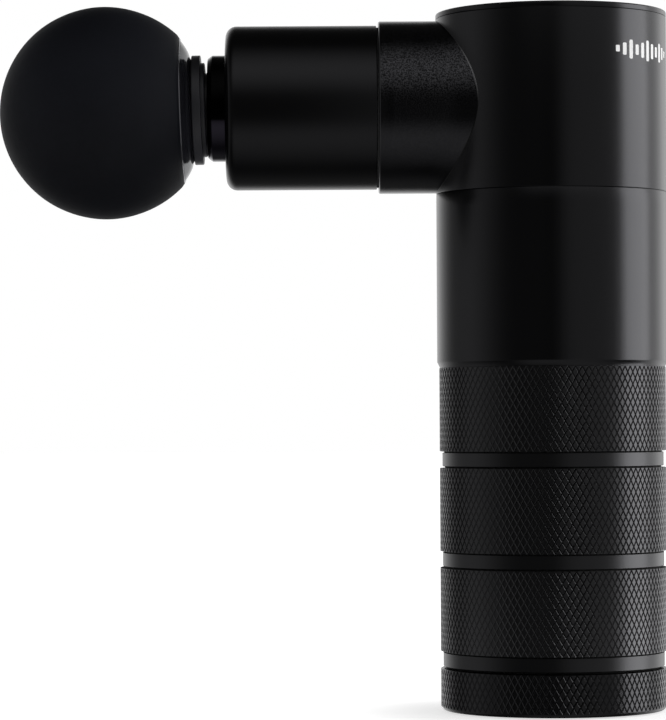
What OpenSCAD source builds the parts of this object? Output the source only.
// Cylindrical percussion massage gun with a ball head.
// The upright barrel stands on the origin and the arm points along -X.

/* [Overall] */
// Height of the barrel, from the base pad to the lid
total_h = 151.4; // [148:0.1:185]
// Outside diameter of the smooth barrel
body_d = 50; // [49:0.5:62]
// Wall of the handle tube at the smooth barrel
barrel_wall = 3; // [2.5:0.1:3.5]
// Wall of the head housing
head_wall = 2; // [1.5:0.1:2.2]
// Height of the head housing, from the seam to the lid
head_h = 37.8; // [37.7:0.05:46]

/* [Grip] */
// Number of knurled bands above the end cap
band_count = 3; // [1:1:3]
// Height of one knurled band
band_h = 18; // [8:0.5:18.5]
// Height of a plain groove between the bands
groove_h = 3.65; // [2:0.05:4.2]
// Step in radius from the smooth barrel down to the knurl
knurl_step = 0.45; // [0.2:0.05:0.9]
// Step in radius from the knurl down to a groove
groove_step = 0.55; // [0.2:0.05:0.8]
// Height of the chamfer where the grip meets the smooth barrel
grip_chamfer_h = 1.4; // [0.8:0.1:3]
// Height of the knurled band on the end cap
cap_band_h = 9.5; // [9:0.1:12]
// Rounding of the end cap's bottom edge
cap_round = 1; // [0.4:0.1:1.6]

/* [Base] */
// Diameter of the rubber base pad
pad_d = 40; // [34:0.5:41]
// Thickness of the base pad
pad_t = 1.5; // [1:0.1:2]
// How far the pad stands out below the end cap
pad_proud = 0.3; // [0.1:0.1:0.6]
// Distance of the charging port from the barrel's axis
port_offset = 11; // [8:0.5:13]

/* [Arm] */
// Height of the arm's axis above the seam
arm_rise = 18.85; // [18.7:0.05:19.2]
// Outside diameter of the collar that leaves the head
collar_d = 37.3; // [34:0.1:37.5]
// Wall of the collar
collar_wall = 2.15; // [1.6:0.05:2.4]
// Distance from the barrel's axis to the collar's front face
collar_reach = 37.5; // [37:0.1:46]
// Outside diameter of the nose barrel
nose_d = 35.5; // [34:0.1:37]
// Length of the nose barrel in front of the collar
nose_len = 33; // [32:0.1:40]
// Rounding of the nose barrel's front edge
nose_round = 2.3; // [1:0.1:2.6]
// Wall of the nose barrel's spigot inside the collar
spigot_wall = 0.7; // [0.6:0.05:1.2]

/* [Piston] */
// Outside diameter of the piston sleeve
piston_d = 23; // [20:0.1:24]
// How far the sleeve stands out of the nose at mid stroke
piston_out = 3.95; // [3.8:0.05:6]
// Full stroke of the piston
stroke = 7; // [5:0.5:7.5]
// Bore of the socket that takes an attachment
socket_d = 16.8; // [16.5:0.1:18]
// Depth of the socket
socket_depth = 20; // [18.5:0.5:22]

/* [Attachment] */
// Diameter of the soft ball
ball_d = 46; // [38:0.5:56]
// Distance from the sleeve's mouth to the ball's centre
ball_ahead = 22.25; // [20:0.05:30]
// Radius of the ball's cut rear face
ball_cut_r = 15.9; // [15:0.1:16.5]
// Diameter of the plug-in shank
shank_d = 15.9; // [14:0.1:15.9]
// Length of the shank inside the socket
shank_len = 17.5; // [14:0.5:18]
// Angle by which the ball head hangs in its socket
droop = 1.6; // [0:0.1:1.6]

/* [Motor] */
// Diameter of the motor case
motor_d = 36; // [34:0.5:38]
// Length of the motor case
motor_len = 25; // [24:0.5:26]
// Diameter of the motor shaft
shaft_d = 5; // [4:0.5:6]
// Bolt circle of the motor screws
motor_pcd = 25; // [22:0.5:27]
// Number of stator teeth
tooth_count = 9; // [6:3:12]
// Number of rotor magnets
magnet_count = 8; // [4:2:10]

/* [Battery] */
// Diameter of one cell
cell_d = 18.2; // [17:0.1:18.4]
// Length of one cell
cell_len = 65; // [60:0.5:65.5]
// Gap between neighbouring cells
cell_gap = 0.4; // [0.2:0.1:0.8]

/* [Fits] */
// Radial clearance of a sliding or turning fit
run_gap = 0.05; // [0.02:0.01:0.08]
// Radial clearance of a piece that is only placed or glued
place_gap = 0.05; // [0.02:0.01:0.1]
// Free play of the crank bearing in the yoke's slot, on each side
yoke_gap = 1.05; // [1:0.05:1.2]
// Travel of the power button
button_travel = 0.5; // [0.2:0.1:0.6]

/* [Hidden] */
$fn = 96;
eps = 0.01;

// ---- radii and levels of the barrel ----
body_r = body_d / 2;
bore_r = body_r - barrel_wall;
head_bore_r = body_r - head_wall;
knurl_r = body_r - knurl_step;
groove_r = knurl_r - groove_step;
grip_top_z = cap_band_h + band_count * (groove_h + band_h);
lid_t = 1.25;
head_top_z = total_h - lid_t;
seam_z = head_top_z - head_h;
arm_z = seam_z + arm_rise;
edge = 0.2;

// ---- end cap and charging port ----
cap_floor_z = pad_t + 2;
cap_cavity_r = bore_r - 3;
cap_spigot_h = 8;
cap_spigot_wall = 1;
cap_spigot_r = bore_r - place_gap;
cap_spigot_bore_r = cap_spigot_r - cap_spigot_wall;
cap_ring_wire = 0.6;
port_w = 8.94;
port_t = 3.26;
port_skin = 0.3;
port_len = 8.7;
port_mouth_z = 1;
port_window_gap = 0.25;
charge_board_z = port_mouth_z + port_len;
charge_board_t = 1.2;
charge_board_r = cap_spigot_bore_r - 0.1;

// ---- battery ----
cell_ring_r = (cell_d + cell_gap) / sqrt(3);
cell_z = charge_board_z + charge_board_t + 1.6;
strip_t = 0.3;
strip_w = 7;
holder_t = 3.5;
holder_hole_r = cell_d / 2 + 0.05;
lead_r = 0.6;
lead_ring_r = 17.5;
lead_angles = [26, 34];

// ---- motor mount, motor and control board ----
mount_plate_t = 3;
mount_rim_h = 4;
mount_rim_r = head_bore_r - place_gap;
mount_rim_bore_r = mount_rim_r - 1.95;
mount_z = seam_z - mount_rim_h;
counterbore_r = head_bore_r;
mount_ring_wire = 0.7;
motor_r = motor_d / 2;
motor_z = mount_z - motor_len;
case_wall = 1.5;
case_top_t = 2.5;
bell_t = 2.5;
shaft_r = shaft_d / 2;
motor_bearing_r = shaft_r + 3;
motor_bearing_w = 4;
bearing_boss_r = motor_bearing_r + 1.5;
stack_z = motor_z + 6.6;
stack_h = 13;
air_gap = 0.7;
tooth_len = 3.45;
magnet_t = 1.9;
stator_yoke_t = 2.4;
stator_bore_r = motor_r - case_wall - place_gap - stator_yoke_t - tooth_len;
rotor_r = stator_bore_r - air_gap;
tooth_w = 3;
coil_t = 0.8;
coil_end = 1.1;
screw_r = 1.5;
screw_head_r = 2.6;
screw_head_h = 1.7;
board_t = 1.6;
standoff_h = 2.25;
control_board_z = motor_z - standoff_h - board_t;
control_board_r = bore_r - 0.4;
isolator_h = 4;
flex_x = bore_r - 1.3;
flex_w = 8;
flex_t = 0.3;
flex_end = 3.5;
motor_lead_r = motor_r - 5.5;
flex_room = 0.5;

// ---- crank and yoke ----
crank_r = stroke / 2;
bearing_w = 5;
bearing_r = 6.5;
bearing_race_t = 1.1;
pin_r = 3;
ball_bearing_count = 9;
ball_bearing_r = 0.88;
yoke_t = 7;
crank_disc_t = 6;
crank_lift = 1.2;
crank_top_z = arm_z - yoke_t / 2 - crank_lift;
crank_z = crank_top_z - crank_disc_t;
crank_hub_r = 8;
counterweight_r = 17;
pin_boss_r = 6;
bearing_z = arm_z - bearing_w / 2;
slot_r = bearing_r + yoke_gap;
slot_run = crank_r + 0.3;
yoke_rib = 3.1;
stem_r = 5;
stud_r = 3;

// ---- arm, measured forward from the barrel's axis ----
collar_r = collar_d / 2;
collar_bore_r = collar_r - collar_wall;
seal_t = 0.4;
seal_recess = 0.45;
nose_r = nose_d / 2;
nose_rear = collar_reach + seal_t;
nose_front = collar_reach + nose_len;
spigot_len = 8;
spigot_rear = collar_reach - spigot_len;
nose_spigot_r = collar_bore_r - place_gap;
nose_bore_r = nose_spigot_r - spigot_wall;
nose_front_wall = 2;
nose_mouth_r = piston_d / 2 + 0.7;
wiper_t = 2;
wiper_front = nose_front - nose_front_wall;
bush_len = 10;
front_bush_end = wiper_front - wiper_t;
rear_bush_end = spigot_rear + 2 + bush_len;
bush_bore_r = piston_d / 2 + run_gap;
piston_r = piston_d / 2;
mouth = nose_front + piston_out;
piston_rear = mouth - 48.5;
piston_rear_wall = 4;
piston_hollow_r = 6;
piston_edge = 1;
socket_r = socket_d / 2;

// ---- attachment, measured the same way ----
ball_r = ball_d / 2;
ball_centre = mouth + ball_ahead;
ball_cut = ball_centre - sqrt(ball_r * ball_r - ball_cut_r * ball_cut_r);
shank_r = shank_d / 2;
shank_rear = mouth - shank_len;
droop_pivot = mouth - shank_len / 2;
neck_gap = 0.45;
flange_r = piston_r + 0.35;
neck_r = piston_r - 1.3;
flange_rear = mouth + 1.3;
flange_front = flange_rear + 1.9;
dome_root = flange_front + 0.45;
dome_rim_r = ball_cut_r - 0.4;
insert_t = 4;
insert_stem_r = 8;
insert_stem_len = 18;
o_ring_wire = 1;
o_ring_seat_r = 7.1;
o_ring_places = [-5, 5];

// ---- lid and control panel ----
lid_spigot_h = 4;
lid_spigot_r = head_bore_r - place_gap;
lid_opening_r = 19.5;
panel_r = lid_opening_r - 0.1;
panel_t = 2;
panel_recess = 0.2;
panel_z = head_top_z + lid_t - panel_recess - panel_t;
button_r = 6.9;
button_gap = 0.2;
button_flange_r = 8;
button_flange_t = 0.8;
plunger_r = 1.7;
switch_size = 6;
switch_h = 3.4;
panel_board_t = 1.6;
panel_board_z = panel_z - 6.8;
panel_board_r = 20;
flex_top_end = flex_x - panel_board_r + 2.8;
switch_z = panel_board_z + panel_board_t;
guide_count = 4;
guide_r = 0.9;
guide_ring_r = 13;
guide_pitch = 24;
led_h = 0.6;
boss_r = 2.4;
boss_ring_r = 17;
boss_count = 3;
boss_screw_r = 1;

// ---- helpers ----

// A tube along +Z
module ring(outer, inner, h) {
    difference() {
        cylinder(r = outer, h = h);
        translate([0, 0, -1]) cylinder(r = inner, h = h + 2);
    }
}

// Places children so that +Z runs forward along the arm, measured from the barrel's axis
module arm_frame() {
    translate([0, 0, arm_z]) rotate([0, -90, 0]) children();
}

// The same frame, turned down by the play of the shank in its socket
module attachment_frame() {
    arm_frame()
        translate([0, 0, droop_pivot]) rotate([0, -droop, 0]) translate([0, 0, -droop_pivot])
            children();
}

// Repeats children evenly round +Z
module around(count, radius, start = 0) {
    for (i = [0 : count - 1])
        rotate([0, 0, start + i * 360 / count]) translate([radius, 0, 0]) children();
}

// A flat outline with round ends, long side along Y
module round_slot(w, t) {
    for (side = [-1, 1]) translate([0, side * (w - t) / 2]) circle(d = t);
    square([t, w - t], center = true);
}

// Points of a quarter arc about centre c, from angle a to angle b
function arc(c, r, a, b, steps = 8) =
    [for (i = [0 : steps]) let (t = a + (b - a) * i / steps) [c[0] + r * cos(t), c[1] + r * sin(t)]];

// Outline of one groove and the band above it
function band_points(z) = [
    [groove_r, z], [groove_r, z + groove_h],
    [knurl_r - edge, z + groove_h], [knurl_r, z + groove_h + edge],
    [knurl_r, z + groove_h + band_h - edge], [knurl_r - edge, z + groove_h + band_h]
];

// ---- casing ----

module handle_tube() {
    outline = concat(
        [for (i = [0 : band_count - 1]) each band_points(cap_band_h + i * (groove_h + band_h))],
        [[body_r, grip_top_z + grip_chamfer_h], [body_r, seam_z - edge], [body_r - edge, seam_z],
         [counterbore_r, seam_z], [counterbore_r, mount_z], [bore_r, mount_z], [bore_r, cap_band_h]]
    );
    color([0.07, 0.07, 0.08]) rotate_extrude() polygon(outline);
}

module port_window(z, h) {
    translate([port_offset, 0, z]) linear_extrude(h)
        round_slot(port_w + 2 * port_window_gap, port_t + 2 * port_window_gap);
}

module end_cap() {
    outline = concat(
        [[0, pad_t], [pad_d / 2 + 0.1, pad_t], [pad_d / 2 + 0.1, pad_proud]],
        arc([knurl_r - cap_round, pad_proud + cap_round], cap_round, -90, 0),
        [[knurl_r, cap_band_h - edge], [knurl_r - edge, cap_band_h], [cap_spigot_r, cap_band_h],
         [cap_spigot_r, cap_band_h + 2], [cap_spigot_r - cap_ring_wire, cap_band_h + 2],
         [cap_spigot_r - cap_ring_wire, cap_band_h + 2 + 2 * cap_ring_wire],
         [cap_spigot_r, cap_band_h + 2 + 2 * cap_ring_wire],
         [cap_spigot_r, cap_band_h + cap_spigot_h], [cap_spigot_bore_r, cap_band_h + cap_spigot_h],
         [cap_spigot_bore_r, charge_board_z], [cap_cavity_r, charge_board_z],
         [cap_cavity_r, cap_floor_z], [0, cap_floor_z]]
    );
    color([0.07, 0.07, 0.08]) difference() {
        rotate_extrude() polygon(outline);
        port_window(0, cap_floor_z + 1);
    }
}

module end_cap_o_ring() {
    color([0.05, 0.05, 0.05]) translate([0, 0, cap_band_h + 2 + cap_ring_wire]) rotate_extrude()
        translate([cap_spigot_r - cap_ring_wire / 2, 0]) circle(r = cap_ring_wire / 2, $fn = 32);
}

module base_pad() {
    color([0.09, 0.09, 0.09]) difference() {
        cylinder(d = pad_d, h = pad_t);
        port_window(-1, pad_t + 2);
    }
}

module charge_port_shell() {
    color([0.75, 0.76, 0.78]) translate([port_offset, 0, port_mouth_z]) difference() {
        linear_extrude(port_len) round_slot(port_w, port_t);
        translate([0, 0, -1]) linear_extrude(port_len)
            round_slot(port_w - 2 * port_skin, port_t - 2 * port_skin);
    }
}

module charge_port_tongue() {
    color([0.1, 0.1, 0.1]) translate([port_offset - 0.35, -3.3, port_mouth_z + 0.8])
        cube([0.7, 6.6, port_len - 1.8]);
}

module charge_board() {
    color([0.05, 0.25, 0.12]) translate([0, 0, charge_board_z])
        cylinder(r = charge_board_r, h = charge_board_t);
}

// ---- battery ----

module cell_places() {
    around(3, cell_ring_r, 90) children();
}

module battery_cells() {
    color([0.15, 0.35, 0.6]) cell_places() translate([0, 0, cell_z]) {
        cylinder(d = cell_d, h = cell_len - 0.8);
        translate([0, 0, cell_len - 0.8]) cylinder(d = cell_d * 0.4, h = 0.8);
    }
}

module battery_holder(r) {
    difference() {
        cylinder(r = r, h = holder_t);
        cell_places() translate([0, 0, -1]) cylinder(r = holder_hole_r, h = holder_t + 2);
        for (a = lead_angles) rotate([0, 0, a]) translate([lead_ring_r, 0, -1])
            cylinder(r = lead_r + 0.2, h = holder_t + 2);
    }
}

module battery_holders() {
    color([0.12, 0.12, 0.13]) {
        translate([0, 0, cell_z + 0.1]) battery_holder(cap_spigot_bore_r - 0.1);
        translate([0, 0, cell_z + cell_len - 1 - holder_t]) battery_holder(bore_r - 0.2);
    }
}

// A nickel strip that joins the ends of two neighbouring cells
module strip(a, b) {
    pa = [cell_ring_r * cos(a), cell_ring_r * sin(a)];
    pb = [cell_ring_r * cos(b), cell_ring_r * sin(b)];
    run = norm(pb - pa);
    translate([pa[0], pa[1], 0]) rotate([0, 0, atan2(pb[1] - pa[1], pb[0] - pa[0])]) {
        cylinder(d = strip_w, h = strip_t);
        translate([0, -strip_w / 2, 0]) cube([run, strip_w, strip_t]);
        translate([run, 0, 0]) cylinder(d = strip_w, h = strip_t);
    }
}

module battery_strips() {
    color([0.78, 0.77, 0.74]) {
        translate([0, 0, cell_z - strip_t]) strip(90, 210);
        translate([0, 0, cell_z + cell_len]) strip(210, 330);
    }
}

module charge_leads() {
    low = charge_board_z + charge_board_t;
    color([0.7, 0.08, 0.06]) for (a = lead_angles)
        rotate([0, 0, a]) translate([lead_ring_r, 0, low])
            cylinder(r = lead_r, h = control_board_z - low, $fn = 24);
}

// ---- control board and motor ----

module control_board() {
    color([0.05, 0.25, 0.12]) translate([0, 0, control_board_z])
        cylinder(r = control_board_r, h = board_t);
}

module control_components() {
    top = control_board_z + board_t;
    color([0.08, 0.08, 0.09]) {
        translate([-4, -4, top]) cube([8, 8, 1]);
        for (a = [62, 96, 126, 174, 202, 230])
            rotate([0, 0, a]) translate([11.5, -2.5, top]) cube([4.5, 5, 1.1]);
        translate([flex_x - flex_end - 2.2, -flex_w / 2 - 1, top]) cube([2, flex_w + 2, 1.2]);
    }
}

module board_standoffs() {
    color([0.8, 0.65, 0.3]) translate([0, 0, control_board_z + board_t])
        around(3, motor_r - 2.2, 30) cylinder(r = 1.8, h = standoff_h, $fn = 6);
}

module motor_leads() {
    color([0.85, 0.75, 0.1]) translate([0, 0, control_board_z + board_t]) for (a = [-8, 0, 8])
        rotate([0, 0, 270 + a * 2]) translate([motor_lead_r, 0, 0]) cylinder(r = 0.8, h = standoff_h, $fn = 24);
}

// Room for the flat cable along the +X side
module flex_notch(z, h) {
    translate([flex_x - flex_room, -flex_w / 2 - flex_room, z])
        cube([flex_t + 2 * flex_room, flex_w + 2 * flex_room, h]);
}

module motor_mount() {
    ring_z = seam_z - mount_rim_h / 2;
    color([0.6, 0.62, 0.64]) difference() {
        union() {
            translate([0, 0, mount_z]) cylinder(r = mount_rim_r, h = mount_plate_t);
            translate([0, 0, mount_z]) ring(mount_rim_r, mount_rim_bore_r, 2 * mount_rim_h);
        }
        translate([0, 0, mount_z - 1]) cylinder(r = bearing_boss_r + 0.2, h = mount_plate_t + 2);
        translate([0, 0, mount_z - 1]) around(4, motor_pcd / 2, 45)
            cylinder(r = screw_r + 0.1, h = mount_plate_t + 2);
        translate([0, 0, ring_z - mount_ring_wire]) difference() {
            cylinder(r = mount_rim_r + 1, h = 2 * mount_ring_wire);
            translate([0, 0, -1]) cylinder(r = mount_rim_r - 2 * mount_ring_wire, h = 4 * mount_ring_wire + 2);
        }
        flex_notch(mount_z - 1, 2 * mount_rim_h + 2);
    }
}

module seam_o_ring() {
    color([0.05, 0.05, 0.05]) translate([0, 0, seam_z - mount_rim_h / 2]) rotate_extrude()
        translate([mount_rim_r - mount_ring_wire, 0]) circle(r = mount_ring_wire, $fn = 32);
}

module motor_screws() {
    color([0.55, 0.56, 0.58]) translate([0, 0, mount_z]) around(4, motor_pcd / 2, 45) {
        translate([0, 0, 0.05 - case_top_t]) cylinder(r = screw_r, h = case_top_t + mount_plate_t);
        translate([0, 0, mount_plate_t]) difference() {
            cylinder(r = screw_head_r, h = screw_head_h);
            translate([0, 0, screw_head_h - 1]) cylinder(r = 1.1, h = 2, $fn = 6);
        }
    }
}

module motor_case() {
    color([0.2, 0.2, 0.22]) difference() {
        translate([0, 0, motor_z + bell_t]) cylinder(r = motor_r, h = motor_len - bell_t);
        translate([0, 0, motor_z]) cylinder(r = motor_r - case_wall, h = motor_len - case_top_t);
        translate([0, 0, mount_z - case_top_t - 1]) cylinder(r = motor_bearing_r + place_gap, h = case_top_t + 2);
        translate([0, 0, mount_z - case_top_t - 1]) around(4, motor_pcd / 2, 45)
            cylinder(r = screw_r + place_gap, h = case_top_t + 2);
        translate([0, 0, mount_z - case_top_t - 1]) around(4, motor_pcd / 2, 0)
            cylinder(r = 2, h = case_top_t + 2);
    }
}

module motor_end_bell() {
    color([0.2, 0.2, 0.22]) translate([0, 0, motor_z]) difference() {
        union() {
            cylinder(r = motor_r, h = bell_t);
            cylinder(r = bearing_boss_r, h = 1 + motor_bearing_w);
        }
        translate([0, 0, -1]) cylinder(r = shaft_r + 1, h = 3);
        translate([0, 0, 1]) cylinder(r = motor_bearing_r + place_gap, h = motor_bearing_w + 1);
    }
}

module motor_bearings() {
    color([0.72, 0.73, 0.75])
        for (z = [motor_z + 1, mount_z - motor_bearing_w]) translate([0, 0, z])
            ring(motor_bearing_r, shaft_r + run_gap, motor_bearing_w);
}

// Flat outline of the stator lamination
module lamination() {
    outer = motor_r - case_wall - place_gap;
    difference() {
        circle(r = outer);
        circle(r = outer - stator_yoke_t);
    }
    for (i = [0 : tooth_count - 1]) rotate([0, 0, i * 360 / tooth_count])
        translate([stator_bore_r, -tooth_w / 2]) square([outer - stator_yoke_t - stator_bore_r + 0.5, tooth_w]);
}

module stator_core() {
    color([0.45, 0.46, 0.48]) translate([0, 0, stack_z]) linear_extrude(stack_h) lamination();
}

module stator_coils() {
    inner = stator_bore_r + 0.6;
    span = motor_r - case_wall - place_gap - stator_yoke_t - 0.5 - inner;
    side = tooth_w / 2 + coil_t;
    color([0.72, 0.38, 0.16]) translate([0, 0, stack_z]) around(tooth_count, inner) difference() {
        translate([0, -side, -coil_end]) cube([span, 2 * side, stack_h + 2 * coil_end]);
        translate([-1, -tooth_w / 2, 0]) cube([span + 2, tooth_w, stack_h]);
    }
}

module motor_isolator_rings() {
    color([0.06, 0.06, 0.06])
        for (z = [motor_z + 3, mount_z - isolator_h - 2]) difference() {
            translate([0, 0, z]) ring(bore_r - place_gap, motor_r, isolator_h);
            translate([flex_x - flex_room, -flex_w / 2 - flex_room, z - 1])
                cube([bore_r, flex_w + 2 * flex_room, isolator_h + 2]);
        }
}

// ---- head and arm ----

module head_housing() {
    outline = [
        [head_bore_r, seam_z], [body_r - edge / 2, seam_z], [body_r, seam_z + edge / 2],
        [body_r, head_top_z], [head_bore_r, head_top_z]
    ];
    color([0.07, 0.07, 0.08]) difference() {
        rotate_extrude() polygon(outline);
        arm_frame() cylinder(r = collar_r, h = body_d);
    }
}

module arm_collar() {
    color([0.08, 0.08, 0.09]) difference() {
        arm_frame() rotate_extrude() polygon([
            [collar_bore_r, 0], [collar_r, 0], [collar_r, collar_reach - edge],
            [collar_r - edge, collar_reach], [collar_bore_r, collar_reach]
        ]);
        translate([0, 0, arm_z - body_d]) cylinder(r = head_bore_r, h = 2 * body_d);
    }
}

module nose_seal_ring() {
    color([0.03, 0.03, 0.03]) arm_frame() translate([0, 0, collar_reach])
        ring(nose_r - seal_recess, nose_spigot_r, seal_t);
}

module nose_barrel() {
    outline = concat(
        [[nose_bore_r, spigot_rear], [nose_spigot_r, spigot_rear], [nose_spigot_r, nose_rear],
         [nose_r - edge, nose_rear], [nose_r, nose_rear + edge]],
        arc([nose_r - nose_round, nose_front - nose_round], nose_round, 0, 90),
        [[nose_mouth_r, nose_front], [nose_mouth_r, nose_front - nose_front_wall],
         [nose_bore_r, nose_front - nose_front_wall]]
    );
    color([0.07, 0.07, 0.08]) arm_frame() rotate_extrude() polygon(outline);
}

module guide_bush(end) {
    color([0.82, 0.8, 0.74]) arm_frame() translate([0, 0, end - bush_len])
        ring(nose_bore_r - place_gap, bush_bore_r, bush_len);
}

module front_guide_bush() {
    guide_bush(front_bush_end);
}

module rear_guide_bush() {
    guide_bush(rear_bush_end);
}

module bush_spacer() {
    color([0.5, 0.5, 0.52]) arm_frame() translate([0, 0, rear_bush_end])
        ring(nose_bore_r - place_gap, nose_bore_r - 1.6, front_bush_end - bush_len - rear_bush_end);
}

module nose_wiper() {
    color([0.05, 0.05, 0.05]) arm_frame() translate([0, 0, front_bush_end])
        ring(nose_bore_r - place_gap, bush_bore_r, wiper_t);
}

// ---- lid and control panel ----

module lid() {
    spigot_bore_r = lid_spigot_r - 1.6;
    boss_z = panel_board_z + panel_board_t;
    color([0.07, 0.07, 0.08]) difference() {
        union() {
            translate([0, 0, head_top_z]) ring(body_r, lid_opening_r, lid_t);
            translate([0, 0, head_top_z - lid_spigot_h]) ring(lid_spigot_r, spigot_bore_r, lid_spigot_h + eps);
            translate([0, 0, head_top_z - 0.8]) ring(lid_spigot_r, lid_opening_r, 0.9);
            translate([0, 0, panel_z - 1]) ring(lid_spigot_r, panel_r - 1, 1);
            translate([0, 0, boss_z]) around(boss_count, boss_ring_r, 60)
                cylinder(r = boss_r, h = panel_z - boss_z);
        }
        translate([0, 0, boss_z - 1]) around(boss_count, boss_ring_r, 60)
            cylinder(r = boss_screw_r, h = 4.5);
    }
}

module guide_places() {
    first = -guide_pitch * (guide_count - 1) / 2;
    for (i = [0 : guide_count - 1])
        rotate([0, 0, first + i * guide_pitch]) translate([guide_ring_r, 0, 0]) children();
}

module control_panel() {
    color([0.02, 0.02, 0.02]) translate([0, 0, panel_z]) difference() {
        cylinder(r = panel_r, h = panel_t);
        translate([0, 0, -1]) cylinder(r = button_r + button_gap, h = panel_t + 2);
        translate([0, 0, -1]) guide_places() cylinder(r = guide_r, h = panel_t + 2);
    }
}

module panel_light_guides() {
    low = panel_board_z + panel_board_t + led_h;
    color([0.85, 0.87, 0.9]) translate([0, 0, low]) guide_places()
        cylinder(r = guide_r - 0.02, h = panel_z + panel_t - low, $fn = 32);
}

module panel_leds() {
    color([0.95, 0.95, 0.85]) translate([-0.8, -0.5, panel_board_z + panel_board_t])
        guide_places() cube([1.6, 1, led_h]);
}

module panel_board() {
    color([0.05, 0.25, 0.12]) translate([0, 0, panel_board_z]) difference() {
        cylinder(r = panel_board_r, h = panel_board_t);
        translate([0, 0, -1]) around(boss_count, boss_ring_r, 60) cylinder(r = boss_screw_r + 0.1, h = 4);
    }
}

module panel_screws() {
    color([0.55, 0.56, 0.58]) translate([0, 0, panel_board_z]) around(boss_count, boss_ring_r, 60) {
        cylinder(r = boss_screw_r - 0.02, h = 4.5);
        translate([0, 0, -1.3]) cylinder(r = 1.9, h = 1.3);
    }
}

module button_switch() {
    color([0.2, 0.2, 0.2]) translate([0, 0, switch_z]) difference() {
        translate([-switch_size / 2, -switch_size / 2, 0]) cube([switch_size, switch_size, switch_h]);
        translate([0, 0, switch_h - 1.9]) cylinder(r = plunger_r + 0.3, h = 3);
    }
}

module panel_flex_cable() {
    low = control_board_z + board_t;
    color([0.8, 0.5, 0.15]) translate([flex_x, -flex_w / 2, 0]) {
        translate([0, 0, low]) cube([flex_t, flex_w, panel_board_z - low]);
        translate([-flex_end, 0, low]) cube([flex_end + eps, flex_w, flex_t]);
        translate([-flex_top_end, 0, panel_board_z - flex_t]) cube([flex_top_end + eps, flex_w, flex_t]);
    }
}

module power_button() {
    flange_z = panel_z - 0.2 - button_flange_t;
    plunger_z = switch_z + switch_h - 1.1;
    color([0.1, 0.1, 0.1]) {
        translate([0, 0, flange_z]) cylinder(r = button_flange_r, h = button_flange_t);
        translate([0, 0, flange_z]) cylinder(r = button_r, h = total_h - flange_z);
        translate([0, 0, plunger_z]) cylinder(r = plunger_r, h = flange_z - plunger_z + eps);
    }
}

// ---- crank, which turns about +Z ----

module motor_shaft() {
    low = motor_z + 0.5;
    color([0.72, 0.73, 0.75]) translate([0, 0, low]) cylinder(r = shaft_r, h = crank_top_z - low);
}

module rotor_core() {
    color([0.4, 0.41, 0.43]) translate([0, 0, stack_z]) ring(rotor_r - magnet_t, shaft_r, stack_h);
}

module rotor_magnets() {
    arc_gap = 4;
    sector = 360 / magnet_count - arc_gap;
    reach = 2 * rotor_r;
    color([0.5, 0.5, 0.52]) translate([0, 0, stack_z]) for (i = [0 : magnet_count - 1])
        rotate([0, 0, i * 360 / magnet_count]) linear_extrude(stack_h) intersection() {
            difference() {
                circle(r = rotor_r);
                circle(r = rotor_r - magnet_t);
            }
            polygon([[0, 0], [reach * cos(sector / 2), -reach * sin(sector / 2)],
                     [reach * cos(sector / 2), reach * sin(sector / 2)]]);
        }
}

module crank_disc() {
    color([0.5, 0.48, 0.45]) translate([0, 0, crank_z]) difference() {
        union() {
            cylinder(r = crank_hub_r, h = crank_disc_t);
            translate([0, crank_r, 0]) cylinder(r = pin_boss_r, h = crank_disc_t);
            intersection() {
                cylinder(r = counterweight_r, h = crank_disc_t);
                translate([-counterweight_r, -counterweight_r, 0])
                    cube([2 * counterweight_r, counterweight_r - 1, crank_disc_t]);
            }
        }
        translate([0, 0, -1]) cylinder(r = shaft_r, h = crank_disc_t + 2);
        translate([0, crank_r, crank_disc_t - 2.5]) cylinder(r = pin_r, h = 3);
    }
}

module crank_pin() {
    color([0.72, 0.73, 0.75]) translate([0, crank_r, 0]) difference() {
        union() {
            translate([0, 0, crank_top_z]) cylinder(r = pin_r, h = bearing_z + bearing_w - crank_top_z);
            translate([0, 0, crank_top_z]) cylinder(r = pin_r + bearing_race_t, h = bearing_z - crank_top_z);
        }
        translate([0, 0, bearing_z]) cylinder(r = 1.25, h = bearing_w + 1);
    }
}

module crank_bearing_rings() {
    color([0.78, 0.79, 0.8]) translate([0, crank_r, bearing_z]) {
        ring(pin_r + bearing_race_t, pin_r, bearing_w);
        ring(bearing_r, bearing_r - bearing_race_t, bearing_w);
    }
}

module crank_bearing_balls() {
    pitch_r = (pin_r + bearing_r) / 2;
    color([0.85, 0.86, 0.87]) translate([0, crank_r, arm_z])
        around(ball_bearing_count, pitch_r) sphere(r = ball_bearing_r * 0.7, $fn = 32);
}

module crank_retainer() {
    top = bearing_z + bearing_w;
    color([0.55, 0.56, 0.58]) translate([0, crank_r, 0]) {
        translate([0, 0, bearing_z + 1]) cylinder(r = 1.25, h = bearing_w - 1 + eps);
        translate([0, 0, top]) cylinder(r = pin_r + bearing_race_t, h = 0.6);
        translate([0, 0, top + 0.6]) difference() {
            cylinder(r = 2.4, h = 1.4);
            translate([0, 0, 0.5]) cylinder(r = 1, h = 2, $fn = 6);
        }
    }
}

// ---- piston, which slides along the arm ----

module yoke() {
    color([0.66, 0.67, 0.69]) {
        translate([0, 0, arm_z - yoke_t / 2]) linear_extrude(yoke_t) difference() {
            round_slot(2 * (slot_run + slot_r + yoke_rib), 2 * (slot_r + yoke_rib));
            round_slot(2 * (slot_run + slot_r), 2 * slot_r);
        }
        intersection() {
            arm_frame() translate([0, 0, slot_r + yoke_rib / 2])
                cylinder(r = stem_r, h = piston_rear - slot_r - yoke_rib / 2);
            translate([-body_d, -stem_r, arm_z - yoke_t / 2]) cube([body_d, 2 * stem_r, yoke_t]);
        }
        arm_frame() translate([0, 0, piston_rear - eps]) cylinder(r = stud_r, h = piston_rear_wall + eps);
    }
}

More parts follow.
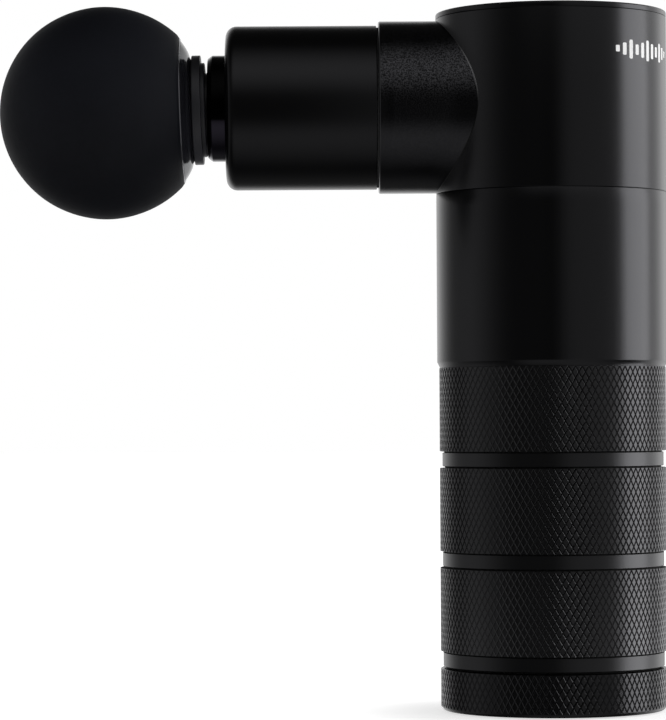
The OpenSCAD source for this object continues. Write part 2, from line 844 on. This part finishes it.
module piston_sleeve() {
    color([0.1, 0.1, 0.11]) arm_frame() difference() {
        rotate_extrude() polygon([
            [0, piston_rear], [piston_r - edge, piston_rear], [piston_r, piston_rear + edge],
            [piston_r, mouth - piston_edge], [piston_r - piston_edge * 0.7, mouth], [0, mouth]
        ]);
        translate([0, 0, mouth - socket_depth]) cylinder(r = socket_r, h = socket_depth + 1);
        translate([0, 0, piston_rear + piston_rear_wall])
            cylinder(r = piston_hollow_r, h = mouth - piston_rear - piston_rear_wall);
        translate([0, 0, piston_rear - 1]) cylinder(r = stud_r, h = piston_rear_wall + 2);
    }
}

// ---- attachment, which pulls out of the piston ----

module core_insert(gap) {
    translate([0, 0, ball_cut - eps]) cylinder(r = dome_rim_r - 0.6 + gap, h = insert_t + gap + eps);
    translate([0, 0, ball_cut]) cylinder(r = insert_stem_r + gap, h = insert_stem_len + gap);
}

module head_core() {
    outline = [
        [0, shank_rear], [shank_r - 0.6, shank_rear], [shank_r, shank_rear + 0.6],
        [shank_r, mouth + neck_gap], [neck_r, mouth + neck_gap], [neck_r, flange_rear],
        [flange_r - 0.15, flange_rear], [flange_r, flange_rear + 0.15],
        [flange_r, flange_front - 0.15], [flange_r - 0.9, flange_front + 0.15],
        [flange_r - 0.35, dome_root], [dome_rim_r - 1.9, dome_root + 0.72],
        [dome_rim_r - 0.8, dome_root + 1.3], [dome_rim_r, ball_cut], [0, ball_cut]
    ];
    color([0.03, 0.03, 0.03]) attachment_frame() difference() {
        union() {
            rotate_extrude() polygon(outline);
            core_insert(0);
        }
        for (place = o_ring_places) translate([0, 0, droop_pivot + place])
            ring(shank_r + 1, o_ring_seat_r, 2 * o_ring_wire + 0.1);
    }
}

module ball_foam() {
    color([0.05, 0.05, 0.055]) attachment_frame() difference() {
        translate([0, 0, ball_centre]) sphere(r = ball_r);
        cylinder(r = ball_d, h = ball_cut);
        core_insert(place_gap);
    }
}

module shank_o_rings() {
    color([0.04, 0.04, 0.04]) attachment_frame() for (place = o_ring_places)
        translate([0, 0, droop_pivot + place + o_ring_wire + 0.05]) rotate_extrude()
            translate([o_ring_seat_r + o_ring_wire / 2, 0]) circle(r = o_ring_wire / 2, $fn = 32);
}

// ---- what is drawn ----

handle_tube();
end_cap();
end_cap_o_ring();
base_pad();
charge_port_shell();
charge_port_tongue();
charge_board();
battery_cells();
battery_holders();
battery_strips();
charge_leads();
control_board();
control_components();
board_standoffs();
motor_leads();
motor_mount();
motor_screws();
seam_o_ring();
motor_case();
motor_end_bell();
stator_core();
stator_coils();
motor_bearings();
motor_isolator_rings();
head_housing();
arm_collar();
nose_seal_ring();
nose_barrel();
front_guide_bush();
rear_guide_bush();
bush_spacer();
nose_wiper();
lid();
control_panel();
panel_light_guides();
panel_board();
panel_leds();
panel_screws();
button_switch();
panel_flex_cable();
motor_shaft();
rotor_core();
rotor_magnets();
crank_disc();
crank_pin();
crank_bearing_rings();
crank_bearing_balls();
crank_retainer();
yoke();
piston_sleeve();
head_core();
ball_foam();
shank_o_rings();
power_button();
